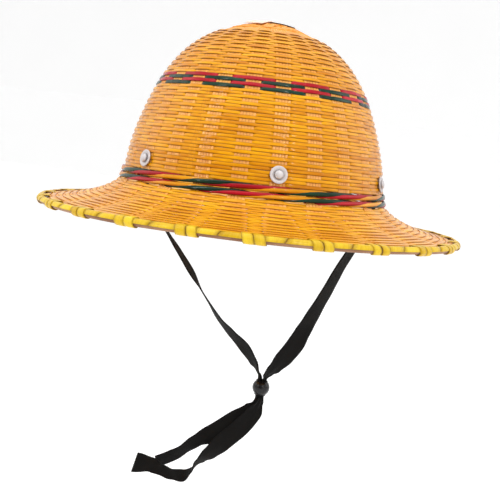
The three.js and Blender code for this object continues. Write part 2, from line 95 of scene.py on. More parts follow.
class Finish:
    def __init__(self, name):
        self.material = bpy.data.materials.new(name)
        self.material.use_nodes = True
        self.tree = self.material.node_tree
        self.tree.nodes.clear()

    def node(self, kind, settings=None, sockets=None, out=0):
        made = self.tree.nodes.new(kind)
        for name, value in (settings or {}).items():
            setattr(made, name, value)
        for key, value in (sockets or {}).items():
            if isinstance(value, Wire):
                self.tree.links.new(value.socket, made.inputs[key])
            elif value is not None:
                made.inputs[key].default_value = value
        return Wire(self, made.outputs[out]) if made.outputs else None

    def attribute(self, name):
        return self.node("ShaderNodeAttribute", {"attribute_name": name}, out="Fac")

    def vector(self, x, y, z):
        return self.node("ShaderNodeCombineXYZ", sockets={0: x, 1: y, 2: z})

    def noise(self, vector, scale, detail=2.0, roughness=0.5):
        sockets = {"Vector": vector, "Scale": scale, "Detail": detail, "Roughness": roughness}
        return self.node("ShaderNodeTexNoise", sockets=sockets, out="Fac")

    def mix(self, factor, first, second):
        return self.node(
            "ShaderNodeMix",
            {"data_type": "RGBA", "clamp_factor": True},
            {"Factor": factor, 6: first, 7: second},
            out=2,
        )

    def between(self, value, low, high):
        return self.node(
            "ShaderNodeMapRange",
            {"interpolation_type": "SMOOTHSTEP"},
            {"Value": value, "From Min": low, "From Max": high},
        )

    def near(self, spot, outer, inner):
        place = self.node("ShaderNodeTexCoord", out="Object")
        ends = {0: place, 1: spot}
        away = self.node("ShaderNodeVectorMath", {"operation": "DISTANCE"}, ends, out="Value")
        return self.between(away, outer, inner)

    def bump(self, height, distance):
        sockets = {"Strength": 1.0, "Distance": distance, "Height": height}
        return self.node("ShaderNodeBump", sockets=sockets)

    def close(self, **sockets):
        names = {key.replace("_", " "): value for key, value in sockets.items()}
        shader = self.node("ShaderNodeBsdfPrincipled", sockets=names)
        self.node("ShaderNodeOutputMaterial", sockets={"Surface": shader})
        return self.material


def linear(red, green, blue):
    def one(value):
        value /= 255
        return value / 12.92 if value <= 0.04045 else ((value + 0.055) / 1.055) ** 2.4

    return (one(red), one(green), one(blue), 1)


# The hat's sizes in mm, as its solids have them
hat = {
    "crownRadius": 107,
    "crownHeight": 128.6,
    "brimRadius": 172,
    "brimDrop": 26,
    "stakes": 24,
    "wall": 3.0,
    "capRadius": 43,
    "bandLevel": 76,
    "rowPitch": 2.6,
    "walePitch": 5.2,
    "hoopRadius": 2.4,
    "hoopDrop": 1.0,
    "gap": 0.3,
    "wrapThickness": 1.2,
}

# Brim from the rim inwards: share of the overhang beyond the crown, share of brimDrop
brimRows = [
    (1.0, 1.0), (0.8, 0.925), (0.58, 0.82), (0.38, 0.68), (0.22, 0.515), (0.1, 0.335), (0.025, 0.16),
]
# Crown from the head opening up: share of crownHeight, share of crownRadius
crownRows = [
    (0, 1.0), (0.045, 0.993), (0.1, 0.983), (0.19, 0.966), (0.305, 0.93), (0.42, 0.884), (0.54, 0.826),
    (0.65, 0.758), (0.735, 0.69), (0.81, 0.612), (0.885, 0.502), (0.94, 0.377), (0.975, 0.242),
    (0.994, 0.11), (1.0, 0),
]


def lengthAlong(points):
    return np.concatenate([[0], np.cumsum(np.linalg.norm(np.diff(points, axis=0), axis=1))])


def meridianPoints():
    overhang = hat["brimRadius"] - hat["crownRadius"]
    rows = [(hat["crownRadius"] + out * overhang, -down * hat["brimDrop"]) for out, down in brimRows]
    rows += [(out * hat["crownRadius"], up * hat["crownHeight"]) for up, out in crownRows]
    rows = np.array(rows, float)
    padded = np.vstack([rows[:1], rows, rows[-1:]])
    t = (np.arange(60) / 60)[:, None]
    spans = []
    for i in range(len(rows) - 1):
        p0, p1, p2, p3 = padded[i : i + 4]
        v0, v1 = (p2 - p0) / 2, (p3 - p1) / 2
        spans.append(
            (2 * p1 - 2 * p2 + v0 + v1) * t**3 + (-3 * p1 + 3 * p2 - 2 * v0 - v1) * t**2 + v0 * t + p1
        )
    return np.vstack(spans + [rows[-1:]])


meridian = meridianPoints()
runs = lengthAlong(meridian)
along = np.gradient(meridian, runs, axis=0)
along /= np.linalg.norm(along, axis=1)[:, None]
wholeRun = runs[-1]


def wallPoint(run, depth):
    run = np.asarray(run, float)
    r, z, ar, az = (np.interp(run, runs, column) for column in (*meridian.T, *along.T))
    return r - az * depth, z + ar * depth


def runAtLevel(level):
    return float(np.interp(level, meridian[:, 1], runs))


def runAtRadius(radius):
    return float(np.interp(-radius, -meridian[:, 0], runs))


# A place on the hat: degrees from the front towards +X, run up from the rim, depth in from the outer face
def place(angle, run, depth):
    r, z = wallPoint(run, depth)
    a = np.radians(angle)
    return np.stack([r * np.sin(a), -r * np.cos(a), np.broadcast_to(z, np.shape(r * a))], axis=-1)


def outwardAt(angle, run):
    a = np.radians(angle)
    ar, az = (np.interp(run, runs, column) for column in along.T)
    return np.stack([az * np.sin(a), -az * np.cos(a), np.broadcast_to(-ar, np.shape(az * a))], axis=-1)


def unit(vectors):
    return vectors / np.maximum(np.linalg.norm(vectors, axis=-1, keepdims=True), 1e-9)


stakePitch = 360 / hat["stakes"]
lowerBandRun = runAtLevel(0)
upperBandRun = runAtLevel(hat["bandLevel"])
lowerHalf = hat["walePitch"]
upperHalf = 2 * hat["rowPitch"]
capRun = runAtRadius(hat["capRadius"])
hoopOut = hat["brimRadius"] - hat["hoopRadius"] - hat["gap"] - hat["wrapThickness"]
edgeRun = runAtRadius(hoopOut - hat["hoopRadius"] - hat["gap"])
hoopUp = float(wallPoint(edgeRun, hat["wall"] / 2)[1]) - hat["hoopDrop"]

flatSection = np.array([
    (-1, 0), (-0.9, 0.75), (-0.6, 1), (0.6, 1), (0.9, 0.75),
    (1, 0), (0.9, -0.75), (0.6, -1), (-0.6, -1), (-0.9, -0.75),
])


def ringSection(sides):
    return np.array([(math.cos(a), math.sin(a)) for a in np.radians(180 - np.arange(sides) * 360 / sides)])


# An end face of a section with n corners, in panels of four
def endPanels(n):
    half = n // 2
    panels = [(n - 1, 0, 1, 2)]
    panels += [(n - 1 - j, 2 + j, 3 + j, n - 2 - j) for j in range(half - 3)]
    panels.append((half + 2, half - 1, half, half + 1))
    return np.array(panels)


# A tube from its rings of points, with quads between the rings and panels at both ends
def tube(points, length, side, seed, panels=None, closed=False):
    count, sides = points.shape[:2]
    rings = count if closed else count - 1
    ring, corner = np.meshgrid(np.arange(rings), np.arange(sides), indexing="ij")
    after, beside = (ring + 1) % count, (corner + 1) % sides
    corners = [ring * sides + corner, ring * sides + beside, after * sides + beside, after * sides + corner]
    faces = np.stack(corners, axis=-1).reshape(-1, 4)
    if panels is not None:
        faces = np.vstack([faces, panels, panels[:, ::-1] + (count - 1) * sides])
    return {
        "points": points.reshape(-1, 3),
        "faces": faces,
        "along": np.repeat(length, sides),
        "side": np.tile(side, count),
        "seed": np.full(count * sides, seed),
    }


# One strand: rings of a section along a spine. out is the face's direction, half sizes are in mm.
def strand(spine, out, halfWidth, halfThick, seed, section=flatSection, closed=False):
    count = len(spine)
    if closed:
        ahead = np.roll(spine, -1, axis=0) - np.roll(spine, 1, axis=0)
    else:
        ahead = np.gradient(spine, axis=0)
    ahead = unit(ahead)
    out = unit(out - (out * ahead).sum(-1, keepdims=True) * ahead)
    across = np.cross(out, ahead)
    halfWidth = np.broadcast_to(halfWidth, count)[:, None, None]
    halfThick = np.broadcast_to(halfThick, count)[:, None, None]
    points = (
        spine[:, None, :]
        + across[:, None, :] * section[None, :, :1] * halfWidth
        + out[:, None, :] * section[None, :, 1:] * halfThick
    )
    panels = None if closed else endPanels(len(section))
    return tube(points, lengthAlong(spine), section[:, 0], seed, panels, closed)


def joined(parts):
    points, faces, start = [], [], 0
    for part in parts:
        points.append(part["points"])
        faces.append(part["faces"] + start)
        start += len(part["points"])
    whole = {key: np.concatenate([part[key] for part in parts]) for key in ("along", "side", "seed")}
    whole["points"] = np.vstack(points)
    whole["faces"] = np.vstack(faces)
    return whole


def addPiece(name, parts, material, replaced=()):
    whole = joined(parts)
    mesh = bpy.data.meshes.new(name)
    mesh.vertices.add(len(whole["points"]))
    mesh.vertices.foreach_set("co", (whole["points"] * mm).ravel().astype(np.float32))
    faces = whole["faces"]
    mesh.loops.add(faces.size)
    mesh.loops.foreach_set("vertex_index", faces.ravel().astype(np.int32))
    mesh.polygons.add(len(faces))
    mesh.polygons.foreach_set("loop_start", (np.arange(len(faces)) * faces.shape[1]).astype(np.int32))
    mesh.update(calc_edges=True)
    mesh.shade_smooth()
    turned = bmesh.new()
    turned.from_mesh(mesh)
    bmesh.ops.recalc_face_normals(turned, faces=turned.faces)
    turned.to_mesh(mesh)
    turned.free()
    for key in ("along", "side", "seed"):
        layer = mesh.attributes.new(key, "FLOAT", "POINT")
        layer.data.foreach_set("value", whole[key].astype(np.float32))
    mesh.materials.append(material)
    piece = bpy.data.objects.new(name, mesh)
    bpy.context.collection.objects.link(piece)
    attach(piece, "root")
    if replaced:
        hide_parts(*replaced)
    return piece


# Burnt spots on the straw, in mm: where the tint begins and where it is full
burn = {
    "outer": 1.7,
    "inner": 0.5,
    "colour": linear(196, 52, 6),
}


# Split cane and bamboo: a skin with long fibres, tone that drifts along each split, painted shade at each
# split's side edges, and a lacquer
def splitFinish(name, look):
    finish = Finish(name)
    length = finish.attribute("along")
    side = finish.attribute("side")
    seed = finish.attribute("seed")
    drift = finish.noise(finish.vector(length * 0.02, side * 0.1, seed * 37), 1.0, 3.0, 0.6)
    fibre = finish.noise(finish.vector(length * 0.12, side * 4.5, seed * 53), 1.6, 4.0, 0.65)
    fleck = finish.noise(finish.vector(length * 0.5, side * 1.2, seed * 71), 1.0, 2.0, 0.5)
    tone = finish.between(drift * 0.7 + fibre * 0.3, 0.32, 0.68)
    body = finish.mix(tone, look["deep"], look["light"])
    stained = finish.mix(finish.between(fleck, 0.68, 0.8) * look["stain"], body, look["stainColour"])
    # Painted shade: each split darkens towards its side edges, standing in for the shade in the gaps between
    # rows
    edge = side * side
    shaded = finish.mix(edge * edge * look["edge"], stained, look["edgeShadeColour"])
    # Painted light: above a given height the split is tinted towards an orange colour that stands in for
    # orange light on the upper crown
    if "top" in look:
        place = finish.node("ShaderNodeTexCoord", out="Object")
        level = finish.node("ShaderNodeSeparateXYZ", sockets={0: place}, out="Z")
        top = look["top"]
        share = finish.between(level, top["from"] * mm, top["to"] * mm) * top["share"]
        shaded = finish.mix(share * (0.6 + tone * 0.4), shaded, top["colour"])
    for spot in look.get("spots", ()):
        shaded = finish.mix(finish.near(spot, burn["outer"] * mm, burn["inner"] * mm), shaded, burn["colour"])
    return finish.close(
        Base_Color=shaded,
        Roughness=look["roughness"] + (fibre - 0.5) * 0.18,
        Specular_IOR_Level=look.get("specular", 0.12),
        Specular_Tint=look.get("specularTint", (1, 1, 1, 1)),
        Coat_Weight=look["coat"],
        Coat_Roughness=look["coatRoughness"],
        Normal=finish.bump(fibre, look["relief"] * mm),
    )


# In each look, edge and its colour set the painted shade at the split's side edges
woodLooks = {
    "straw": {
        "deep": linear(192, 112, 0),
        "light": linear(238, 168, 12),
        "stain": 0.35,
        "stainColour": linear(190, 84, 16),
        "edge": 1.0,
        "edgeShadeColour": linear(92, 42, 0),
        "specular": 0.55,
        "specularTint": linear(255, 188, 84),
        "roughness": 0.34,
        "coat": 0.22,
        "coatRoughness": 0.1,
        "relief": 0.12,
        "spots": [(0.0597, -0.0852, 0.032), (0.099, -0.037, 0.022)],
    },
    "paleSplit": {
        "deep": linear(230, 152, 70),
        "light": linear(252, 186, 98),
        "stain": 0.5,
        "stainColour": linear(140, 112, 62),
        "edge": 0.3,
        "edgeShadeColour": linear(150, 84, 30),
        "roughness": 0.45,
        "coat": 0.25,
        "coatRoughness": 0.12,
        "relief": 0.1,
        # top tints the stakes of the upper crown orange by height, as painted light
        "top": {"from": 62, "to": 116, "share": 0.8, "colour": linear(236, 156, 48)},
    },
    "topPale": {
        "deep": linear(238, 206, 184),
        "light": linear(252, 230, 212),
        "stain": 0.3,
        "stainColour": linear(180, 130, 96),
        "edge": 0.1,
        "edgeShadeColour": linear(140, 96, 66),
        "roughness": 0.5,
        "coat": 0.1,
        "coatRoughness": 0.3,
        "relief": 0.1,
    },
    "brownSplit": {
        "deep": linear(70, 44, 28),
        "light": linear(112, 76, 50),
        "stain": 0.2,
        "stainColour": linear(50, 28, 16),
        "edge": 0.4,
        "edgeShadeColour": linear(40, 22, 12),
        "roughness": 0.5,
        "coat": 0.1,
        "coatRoughness": 0.25,
        "relief": 0.12,
    },
    "red": {
        "deep": linear(150, 0, 14),
        "light": linear(186, 2, 30),
        "stain": 0.3,
        "stainColour": linear(150, 10, 20),
        "edge": 0.7,
        "edgeShadeColour": linear(60, 0, 8),
        "roughness": 0.34,
        "coat": 0.28,
        "coatRoughness": 0.1,
        "relief": 0.1,
    },
    "green": {
        "deep": linear(0, 28, 15),
        "light": linear(6, 58, 34),
        "stain": 0.3,
        "stainColour": linear(10, 40, 30),
        "edge": 0.7,
        "edgeShadeColour": linear(2, 18, 10),
        "roughness": 0.32,
        "coat": 0.32,
        "coatRoughness": 0.1,
        "relief": 0.1,
    },
    "hoopCane": {
        "deep": linear(128, 88, 62),
        "light": linear(176, 136, 104),
        "stain": 0.4,
        "stainColour": linear(96, 58, 34),
        "edge": 0.3,
        "edgeShadeColour": linear(90, 56, 36),
        "roughness": 0.5,
        "coat": 0.08,
        "coatRoughness": 0.3,
        "relief": 0.16,
    },
    "lashing": {
        "deep": linear(194, 150, 10),
        "light": linear(232, 198, 46),
        "stain": 0.4,
        "stainColour": linear(180, 130, 20),
        "edge": 0.6,
        "edgeShadeColour": linear(130, 84, 8),
        "roughness": 0.38,
        "coat": 0.2,
        "coatRoughness": 0.2,
        "relief": 0.16,
    },
}
# The brim's rows lie closer than the crown's, so less painted shade is put at their edges, and this copy of
# the straw is painted lighter to stand for the light that falls on the brim from above
woodLooks["brimStraw"] = {
    **woodLooks["straw"],
    "deep": linear(206, 126, 3),
    "light": linear(244, 178, 14),
    "edge": 0.6,
    "edgeShadeColour": linear(124, 60, 0),
    "spots": [],
}
woods = {name: splitFinish(name, look) for name, look in woodLooks.items()}
print("split finishes ready")


# Chin strap: two flat tapes through one bead. The routes are those of the solids, in mm: the middle of the
# tape, the turn of its width about the run in degrees, and its width as a share.
strap = {
    "width": 15,
    "thickness": 1.0,
    "threadPitch": 0.62,
    "columns": 13,
    "edgeInset": 0.55,
    "cup": 0.9,
    "cupMiddle": 0.35,
    "waves": [(0.35, 0.045, 9), (0.18, 0.19, 5)],
    "foldHeight": 1.26,
    "ripple": 0.12,
    "cutRings": 6,
    "bead": (27, 3, -167.6),
    "beadRadius": 7.2,
    "beadHeight": 12,
    "beadBore": 4.4,
    "beadTilt": 2.5,
    "beadLip": 0.55,
    "beadShoulder": 1.5,
}
tapeLeftRows = np.array([
    (-102.2, 0, 4.9, 0, 1), (-101.4, 0, -4, 0, 1), (-98.6, 0, -14, -6, 1), (-92.6, 0, -25, -13, 1),
    (-84.2, 0, -37, -18, 1), (-72.8, 0, -50.7, -17, 1), (-61.7, 0, -63.1, -10, 1),
    (-48.3, 0, -79.2, -6, 1), (-33.9, 0, -96.9, -24, 1), (-15.5, 0, -117.1, -35, 1),
    (-3.2, 0, -126.9, -45, 1), (9.8, 0, -136.5, -57, 1), (18.4, 0.5, -146.9, -50, 0.9),
    (22.8, 1.6, -154.3, -30, 0.82), (25.3, 3, -160.8, 0, 0.31), (25.0, 3, -167.6, 0, 0.31),
    (24.7, 3, -174.4, 0, 0.31), (23.8, 4.6, -180.5, 30, 0.55), (19.4, 4.2, -188.4, 62, 0.85),
    (6.6, -1.8, -200.5, 88, 1), (-8.0, -7.3, -213.2, 90, 1), (-20.0, -11.9, -221.5, 45, 1),
    (-28.8, -15.2, -229.8, 32, 1), (-38.3, -16.6, -237.4, 44, 1), (-50.8, -20.4, -244.4, 60, 0.8),
])
tapeRightRows = np.array([
    (102.2, 0, 4.9, 0, 1), (101.8, 0, -4, 1, 1), (99.9, 0, -14, 4, 1), (96.5, 0, -25, 9, 1),
    (92.3, 0, -35, 13, 1), (83.3, 0, -54, 16, 1), (77.7, 0, -67.9, 20, 1), (70.7, 0, -84.7, 25, 1),
    (62.8, 0, -102.7, 36, 1), (57.5, 0, -114.6, 48, 1), (52.9, 0, -125.5, 66, 1),
    (44.9, 0.5, -138.1, 62, 1), (37.2, 1.5, -149.0, 44, 0.85), (31.8, 2.5, -155.6, 20, 0.8),
    (29.3, 3, -160.8, 0, 0.31), (29.0, 3, -167.6, 0, 0.31), (28.7, 3, -174.4, 0, 0.31),
    (27.8, 1.0, -180.3, 30, 0.55), (24.8, -1.0, -189.7, 72, 0.9), (15.4, -4.3, -203.9, 86, 1),
    (4.3, -9.1, -216.6, 86, 1), (-5.8, -12.4, -228.6, 47, 1), (-13.3, -14.1, -237.0, 18, 1),
    (-18.8, -14.6, -244.8, -12, 1), (-25.6, -16.6, -251.6, -27, 1), (-34.4, -22.6, -251.0, -4, 1),
    (-41.6, -28.0, -247.3, -4, 1), (-49.5, -31.8, -243.6, -28, 1), (-63.4, -37.0, -243.1, -66, 1.1),
])


# A smooth curve through the rows' points (centripetal), with the other columns eased between the rows
def routeThrough(rows, perSpan=8):
    p = rows[:, :3]
    p = np.vstack([2 * p[0] - p[1], p, 2 * p[-1] - p[-2]])
    out = []
    for i in range(1, len(p) - 2):
        x0, x1, x2, x3 = p[i - 1 : i + 3]
        d0, d1, d2 = (math.sqrt(np.linalg.norm(b - a)) for a, b in ((x0, x1), (x1, x2), (x2, x3)))
        t1 = ((x1 - x0) / d0 - (x2 - x0) / (d0 + d1) + (x2 - x1) / d1) * d1
        t2 = ((x2 - x1) / d1 - (x3 - x1) / (d1 + d2) + (x3 - x2) / d2) * d1
        for k in range(perSpan):
            t = k / perSpan
            ease = t * t * (3 - 2 * t)
            cubic, square = 2 * x1 - 2 * x2 + t1 + t2, 3 * x2 - 3 * x1 - 2 * t1 - t2
            point = cubic * t**3 + square * t**2 + t1 * t + x1
            out.append([*point, *(rows[i - 1, 3:] * (1 - ease) + rows[i, 3:] * ease)])
    out.append(list(rows[-1]))
    return np.array(out)


def tapeStrand(rows, seed, endCut):
    path = routeThrough(rows)
    spine, turn, wide = path[:, :3], np.radians(path[:, 3]), path[:, 4]
    ahead = unit(np.gradient(spine, axis=0))
    width = unit(np.array([0.0, 1.0, 0.0]) - ahead[:, 1:2] * ahead)
    c, s = np.cos(turn)[:, None], np.sin(turn)[:, None]
    width = width * c + np.cross(ahead, width) * s
    face = np.cross(ahead, width)
    length = lengthAlong(spine)
    halfWidth, halfThick = strap["width"] / 2, strap["thickness"] / 2
    columns = np.linspace(-1, 1, strap["columns"]) * (1 - strap["edgeInset"] * halfThick / halfWidth)
    upper = [(q, halfThick) for q in columns]
    lower = [(q, -halfThick) for q in columns[::-1]]
    section = np.array([(-1, 0)] + upper + [(1, 0)] + lower)
    q = section[None, :, 0]
    # where the tape is narrowed it folds lengthwise, and elsewhere it cups a little
    fold = np.sqrt(np.clip(1 - wide, 0, 1))[:, None]
    wave = sum(size * np.sin(length * rate + seed * phase) for size, rate, phase in strap["waves"])[:, None]
    lift = strap["cup"] * (q**2 - strap["cupMiddle"]) * wave * (1 - fold)
    lift = lift + strap["foldHeight"] * fold**2 * np.cos(2 * np.pi * q)
    lift = lift + strap["ripple"] * np.sin(length[:, None] * 0.8 + 4 * q) * fold
    slide = np.zeros(len(spine))
    slide[-strap["cutRings"] :] = np.linspace(0, 1, strap["cutRings"])
    # endCut slants the free end: one border runs on and the other falls short
    points = (
        spine[:, None, :]
        + width[:, None, :] * (q * wide[:, None] * halfWidth)[:, :, None]
        + face[:, None, :] * (section[None, :, 1] + lift)[:, :, None]
        + ahead[:, None, :] * (endCut * q * slide[:, None])[:, :, None]
    )
    return tube(points, length, section[:, 0], seed, endPanels(len(section))), spine


def tapeFinish():
    finish = Finish("cottonTape")
    length = finish.attribute("along")
    side = finish.attribute("side")
    pitch = strap["threadPitch"]
    column = side * (math.pi * strap["width"] / pitch)
    warp = finish.node("ShaderNodeMath", {"operation": "SINE"}, {0: column})
    rib = (length + warp * 0.16) * (2 * math.pi / pitch)
    weft = finish.node("ShaderNodeMath", {"operation": "SINE"}, {0: rib})
    thread = warp * weft * 0.5 + 0.5
    place = finish.node("ShaderNodeTexCoord", out="Object")
    fuzz = finish.noise(place, 900.0, 3.0, 0.7)
    worn = finish.noise(place, 60.0, 3.0, 0.6)
    height = thread * 0.7 + fuzz * 0.3
    yarn = finish.mix(height * 0.55 + worn * 0.45, linear(3, 3, 3), linear(24, 23, 22))
    return finish.close(
        Base_Color=yarn,
        Roughness=0.82 + fuzz * 0.12,
        Specular_IOR_Level=0.15,
        Sheen_Weight=0.03,
        Sheen_Roughness=0.5,
        Normal=finish.bump(height, 0.12 * mm),
    )


tapeMaterial = tapeFinish()
tapePieces = {}
for name, rows, seed, endCut in (
    ("chinTapeLeft", tapeLeftRows, 0.31, 1.0),
    ("chinTapeRight", tapeRightRows, 0.74, -1.5),
):
    part, spine = tapeStrand(rows, seed, endCut)
    node = "chin_tape_left" if name.endswith("Left") else "chin_tape_right"
    piece = addPiece(name, [part], tapeMaterial, (node,))
    tapePieces[name] = (piece, spine * mm)


def lathe(profile, sides):
    profile = np.array(profile, float)
    a = np.arange(sides) / sides * 2 * np.pi
    radius, height = profile[:, :1], np.repeat(profile[:, 1:], sides, axis=1)
    points = np.stack([radius * np.cos(a), radius * np.sin(a), height], axis=-1)
    return tube(points, lengthAlong(profile), np.cos(a), 0.5)


def moved(part, matrix):
    points = part["points"] @ np.array(matrix.to_3x3()).T + np.array(matrix.translation)
    return {**part, "points": points}


def arc(cx, cy, radius, start, end, count):
    a = np.radians(np.linspace(start, end, count))
    return [(cx + radius * math.cos(t), cy + radius * math.sin(t)) for t in a]


def beadFinish():
    finish = Finish("glossyBlackPlastic")
    place = finish.node("ShaderNodeTexCoord", out="Object")
    haze = finish.noise(place, 260.0, 3.0, 0.6)
    scuff = finish.noise(place, 1400.0, 2.0, 0.6)
    return finish.close(
        Base_Color=finish.mix(haze, linear(9, 9, 10), linear(20, 20, 22)),
        Roughness=0.2 + haze * 0.14,
        Specular_IOR_Level=0.25,
        Coat_Weight=0.15,
        Coat_Roughness=0.06,
        Normal=finish.bump(scuff, 0.012 * mm),
    )


def beadParts():
    radius, half = strap["beadRadius"], strap["beadHeight"] / 2
    bore, lip = strap["beadBore"], strap["beadLip"]
    end = math.degrees(math.asin(half / radius)) - strap["beadShoulder"]
    profile = [(bore, half - lip)] + arc(bore + lip, half - lip, lip, 180, 90, 5)
    profile += arc(0, 0, radius, end, -end, 33)
    profile += arc(bore + lip, lip - half, lip, 270, 180, 5) + [(bore, lip - half), (bore, half - lip)]
    tilt = Matrix.Rotation(math.radians(strap["beadTilt"]), 4, "Y")
    return [moved(lathe(profile[::-1], 64), Matrix.Translation(strap["bead"]) @ tilt)]


bead = addPiece("chinBead", beadParts(), beadFinish(), ("chin_bead",))
for name, (piece, path) in tapePieces.items():
    [bead] if name == "chinTapeRight" else []


# Weft rows: how a split rides over one stake and under the next
weft = {
    "halfThick": 0.44,
    "stakeHalf": 5.6,
    "early": 0.45,
    "least": 30,
    "wander": 0.06,
    "jog": 0.1,
    "ripple": 0.04,
    "diveMost": 0.3,
    "endMost": 0.47,
    "spread": [(107.5, 0), (116, 2.8), (130, 6.2), (hoopOut, 10.0)],
    "limit": [(38, 0.49), (52, 0.44)],
}


# Half the width of a stake at a run: it spreads on the brim and keeps within its share of the cap
def stakeHalfWidth(run):
    radius = np.interp(run, runs, meridian[:, 0])
    pitch = 2 * np.pi * np.maximum(radius, weft["least"]) / hat["stakes"]
    spread = np.interp(radius, *zip(*weft["spread"]))
    limit = np.interp(radius, *zip(*weft["limit"]))
    return np.minimum(weft["stakeHalf"] + spread, limit * pitch)


# What differs between the crown, the bands and the brim: the half width and what is added to it over and
# behind a stake, the depth swing, the depth share midway between stakes, the way down behind one, and
# how far the row stands out
crownWeft = {"half": 1.37, "swell": 0.08, "behind": 0.35, "swing": 0.86, "level": 0.42, "dive": 5.0, "lift": 0}
bandWeft = {"half": 1.5, "swell": 0.12, "behind": 0.2, "swing": 0.92, "level": 0.6, "dive": 4.6, "lift": 0.12}
brimWeft = {"half": 1.31, "swell": 0.52, "behind": 1.2, "swing": 0.84, "level": 0.1, "dive": 9.0, "lift": 0}


def weftRow(run, phase, seed, kind):
    stakes = hat["stakes"]
    radius = float(np.interp(run, runs, meridian[:, 0]))
    pitch = radius * math.radians(stakePitch)
    flat = float(stakeHalfWidth(run)) / pitch
    dive = min(kind["dive"] / pitch, weft["diveMost"])
    start = min(flat - weft["early"] * dive, weft["endMost"] - dive)
    steps = np.array([0, 0.55 * start, start] + [start + dive * part for part in (0.25, 0.5, 0.75, 1)])
    around = np.concatenate([-steps[:0:-1], steps, [0.5]])
    nearest = np.repeat(np.arange(stakes), len(around))
    share = nearest + np.tile(around, stakes)
    angle = share * stakePitch
    # a weft lies over one stake and behind the next, and keeps near the outside between them
    t = np.clip((np.abs(share - nearest) - start) / dive, 0, 1)
    rise = t * t * (3 - 2 * t)
    isOver = (nearest + phase) % 2 == 0
    over = np.where(isOver, 1 - (1 - kind["level"]) * rise, -1 + (1 + kind["level"]) * rise)
    drift = seeds.uniform(0, 2 * np.pi, 4)
    a = np.radians(angle)
    sway = sum(np.sin(a * k + p) / k**0.5 for k, p in zip((2, 3, 5, 9), drift))
    jogs = seeds.normal(0, weft["jog"], stakes)
    jog = np.interp(share % stakes, np.arange(stakes + 1), np.append(jogs, jogs[0]))
    height = run + weft["wander"] * sway + jog
    depth = hat["wall"] / 2 - over * kind["swing"] - kind["lift"]
    spine = place(angle, height, depth)
    out = outwardAt(angle, height)
    width = kind["half"] + np.where(isOver, kind["swell"], kind["behind"]) * (1 - rise) ** 2
    width = width + weft["ripple"] * np.sin(a * 17 + drift[0])
    return strand(spine, out, width, weft["halfThick"], seed, closed=True)


def weftRows(start, end, firstPhase, kind, fromEnd=False):
    count = max(1, round((end - start) / hat["rowPitch"]))
    pitch = (end - start) / count
    rows = []
    for k in range(count):
        run = end - (k + 0.5) * pitch if fromEnd else start + (k + 0.5) * pitch
        rows.append(weftRow(run, firstPhase + k, seeds.uniform(), kind))
    return rows


sideRows = weftRows(lowerBandRun + lowerHalf, upperBandRun - upperHalf, 1, crownWeft, fromEnd=True)
topRows = weftRows(upperBandRun + upperHalf, capRun, 0, crownWeft)
brimWefts = weftRows(edgeRun, lowerBandRun - lowerHalf, len(sideRows) + 1, brimWeft, fromEnd=True)
addPiece("crownSideWefts", sideRows, woods["straw"], ("crown_side_weave",))
addPiece("crownTopWefts", topRows, woods["straw"], ("crown_top_weave",))
addPiece("brimWefts", brimWefts, woods["brimStraw"], ("brim_weave", "brim_flare_weave"))
print("wefts woven:", len(sideRows), len(topRows), len(brimWefts), "rows")

# Upper band: red rows pass over the odd stakes and green rows over the even ones
bandNodes = ["upper_band_green_b", "upper_band_red_b", "upper_band_green_a", "upper_band_red_a"]
for k, node in enumerate(bandNodes):
    run = upperBandRun - upperHalf + (k + 0.5) * hat["rowPitch"]
    colour = "green" if k % 2 == 0 else "red"
    row = weftRow(run, 0 if colour == "green" else 1, seeds.uniform(), bandWeft)
    pieceName = "upperBand" + ("GreenB", "RedB", "GreenA", "RedA")[k]
    addPiece(pieceName, [row], woods[colour], (node,))

# Lower band: two rows of a three-strand twist. Each strand runs over two stakes and behind one.
wale = {
    "period": 45.0,
    "greenMiddle": 2.5,
    "frontShare": 0.68,
    "fall": -1.4,
    "halfWidth": 1.7,
    "halfThick": 0.95,
    "proud": 0.7,
    "dip": 1.35,
    "behind": 0.6,
    "behindRoom": 0.5,
    "sway": 0.1,
    "taper": 0.3,
    "stepsPerStake": 12,
}


def waleStrand(run, middle, seed):
    count = hat["stakes"] * wale["stepsPerStake"]
    angle = np.arange(count) * 360 / count
    turn = ((angle - middle) / wale["period"] + 0.5) % 1 - 0.5
    front = wale["frontShare"] / 2
    ahead = np.clip(turn / front, -1, 1)
    behind = np.clip((np.abs(turn) - front) / (0.5 - front), 0, 1)
    inFront = np.abs(turn) < front
    rise = np.where(inFront, -ahead, -np.sign(turn) * np.cos(behind * np.pi / 2))
    depthFront = -wale["proud"] + wale["dip"] * np.abs(ahead) ** 3
    depthRoom = hat["wall"] - wale["behindRoom"] - wale["behind"]
    depthBack = wale["behind"] + depthRoom * np.sin(behind * np.pi / 2)
    depth = np.where(inFront, depthFront, depthBack)
    height = run + wale["fall"] * rise + wale["sway"] * np.sin(np.radians(angle * 3) + seed * 6)
    taper = 1 - wale["taper"] * np.where(inFront, np.abs(ahead) ** 3, 1)
    halfWidth, halfThick = wale["halfWidth"] * taper, wale["halfThick"] * taper
    spine, out = place(angle, height, depth), outwardAt(angle, height)
    return strand(spine, out, halfWidth, halfThick, seed, ringSection(10), closed=True)


waleColours = {"green": ("green_weft", 0), "red": ("red_weft", 16), "straw": ("straw", -14)}
for colour, (slot, shift) in waleColours.items():
    strands = []
    for row in (0, 1):
        run = lowerBandRun - lowerHalf + (row + 0.5) * hat["walePitch"]
        strands.append(waleStrand(run, wale["greenMiddle"] + shift, seeds.uniform()))
    # the red piece stands for both rows' solids, because each row holds all three colours
    replaced = ("lower_band_lower_row", "lower_band_upper_row") if colour == "red" else ()
    addPiece("lowerBand" + colour.capitalize(), strands, woods[colour], replaced)
print("bands woven")

